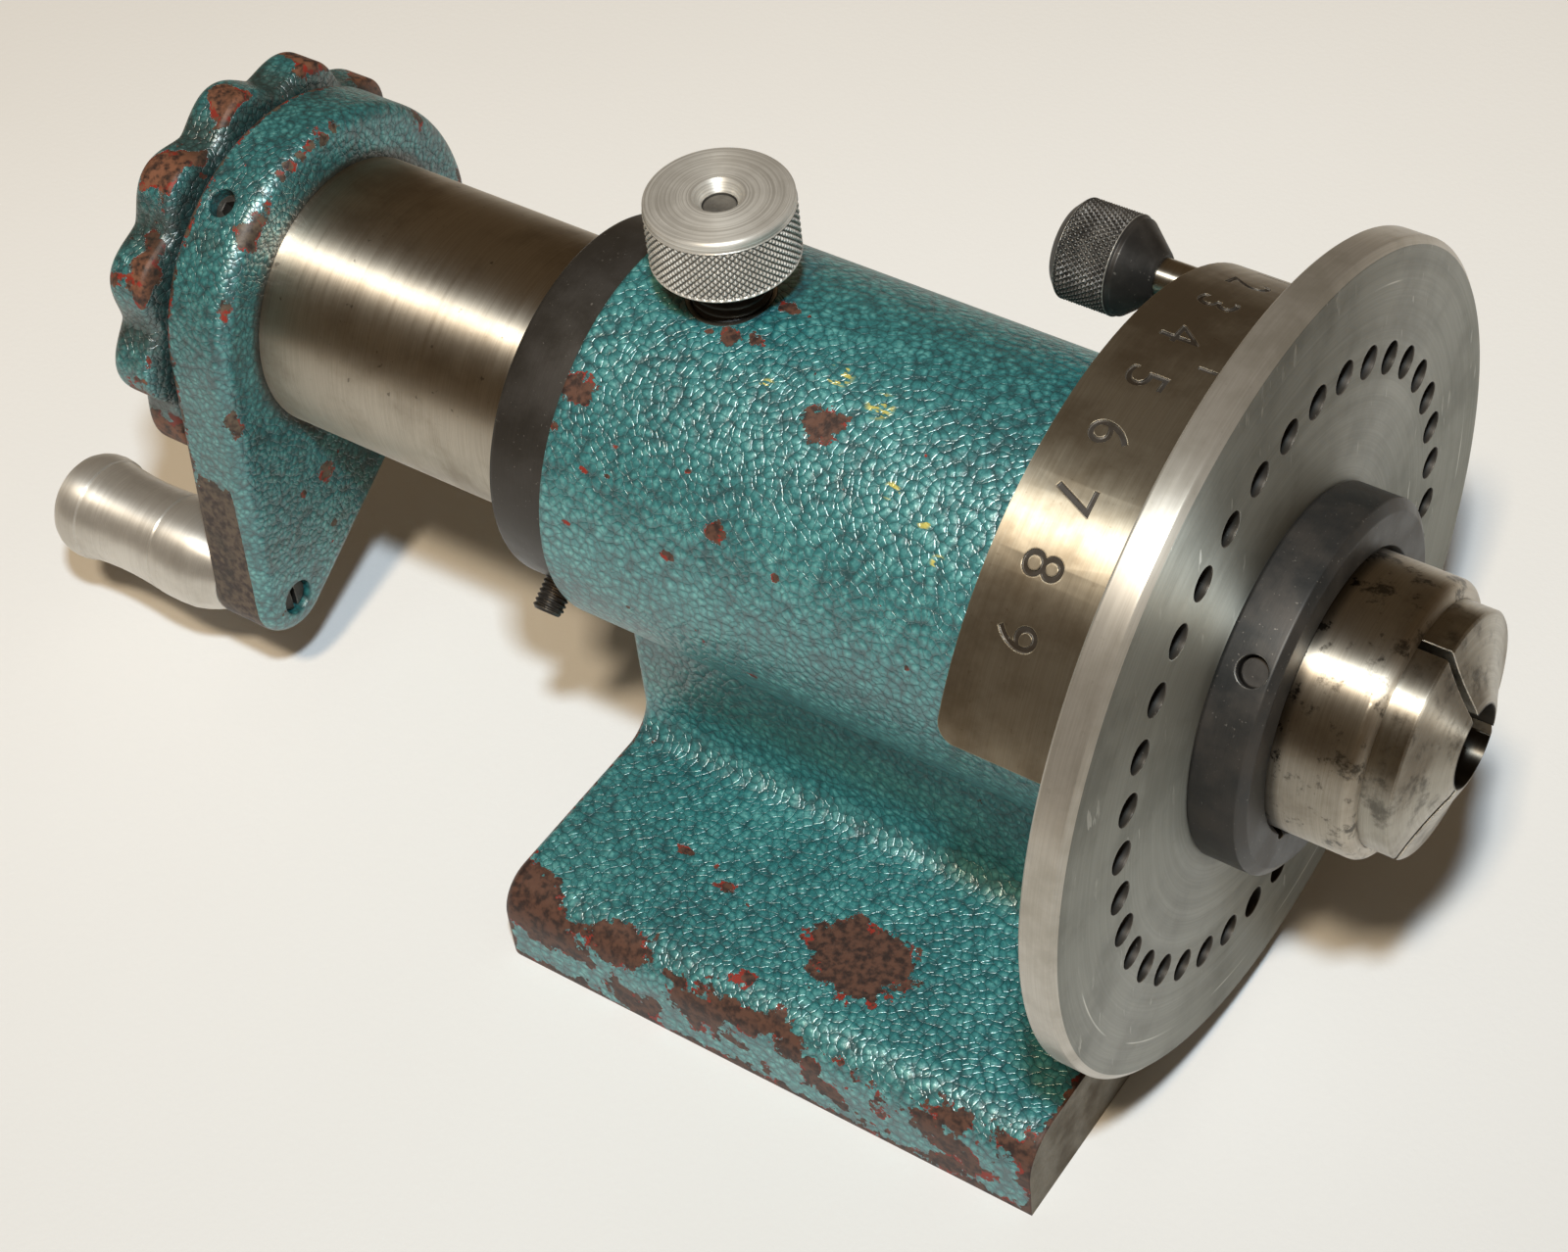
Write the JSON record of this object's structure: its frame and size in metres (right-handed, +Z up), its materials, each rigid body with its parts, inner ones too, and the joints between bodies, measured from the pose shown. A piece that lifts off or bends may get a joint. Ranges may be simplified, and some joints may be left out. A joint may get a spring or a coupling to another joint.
{
  "type": "collet spin index fixture",
  "caption": "Bench fixture with a cast stand, a hand-cranked hollow spindle, a drilled index plate with a vernier pin, a drawbar and a spring collet.",
  "frame": {"origin": "on the underside of the base, below the spindle's axis and midway along the base", "axes": "+X along the spindle towards its nose, +Z up, +Y to the left seen from behind the crank"},
  "size_m": [0.2513, 0.127, 0.1333],
  "materials": {
    "teal_paint": "hammertone enamel, chipped",
    "ground_steel": "ground and lightly stained",
    "plate_steel": "satin face, bright rim",
    "black_steel": "blackened, bright worn edges",
    "turned_steel": "turned, satin",
    "alloy": "turned and knurled",
    "brass": "turned",
    "collet_steel": "ground"
  },
  "bodies": {
    "housing": {"housing_casting": "teal_paint"},
    "collar": {"stop_collar": "black_steel", "collar_screw": "black_steel"},
    "spindle": {"spindle_tube": "ground_steel", "collet_key": "black_steel", "index_plate": "plate_steel", "hub_nut": "black_steel", "hub_nut_screw": "black_steel", "crank_casting": "teal_paint", "crank_hub_screw": "black_steel", "handle_screw": "turned_steel", "thrust_washer": "black_steel"},
    "grip": {"crank_grip": "turned_steel"},
    "drawbar": {"draw_handwheel": "teal_paint", "draw_tube": "ground_steel", "handwheel_screw": "black_steel"},
    "collet": {"spring_collet": "collet_steel"},
    "pin": {"index_pin": "turned_steel", "index_pin_knob": "black_steel"},
    "lock_follower": {"lock_pad": "brass"},
    "lock_screw": {"lock_stud": "black_steel", "lock_knob": "alloy"}
  },
  "joints": [
    {"name": "spindle_spin", "type": "hinge", "parent": "housing", "child": "collar", "pos_m": [0, 0, 0.06985], "axis": [1, 0, 0], "continuous": true},
    {"name": "spindle_slide", "type": "slide", "parent": "collar", "child": "spindle", "axis": [1, 0, 0], "range_m": [0, 0.0515]},
    {"name": "grip_spin", "type": "hinge", "parent": "spindle", "child": "grip", "pos_m": [-0.14, -0.02882, 0.023], "axis": [1, 0, 0], "continuous": true},
    {"name": "drawbar_turn", "type": "hinge", "parent": "spindle", "child": "drawbar", "pos_m": [-0.133, 0, 0.06985], "axis": [1, 0, 0], "range_deg": [-720, 0]},
    {"name": "collet_slide", "type": "slide", "parent": "spindle", "child": "collet", "axis": [1, 0, 0], "range_m": [0, 0.0026]},
    {"name": "pin_slide", "type": "slide", "parent": "housing", "child": "pin", "axis": [1, 0, 0], "range_m": [-0.012, 0.0083]},
    {"name": "lock_travel", "type": "slide", "parent": "housing", "child": "lock_follower", "axis": [0, 0, 1], "range_m": [-0.0002, 0.0045]},
    {"name": "lock_turn", "type": "hinge", "parent": "lock_follower", "child": "lock_screw", "pos_m": [-0.0332, 0, 0.11], "axis": [0, 0, 1], "range_deg": [-10, 720]}
  ],
  "couplings": [
    {"joint": "collet_slide", "follows": "drawbar_turn", "m_per_rad": -0.00020213},
    {"joint": "lock_travel", "follows": "lock_turn", "m_per_rad": 0.00027852}
  ]
}
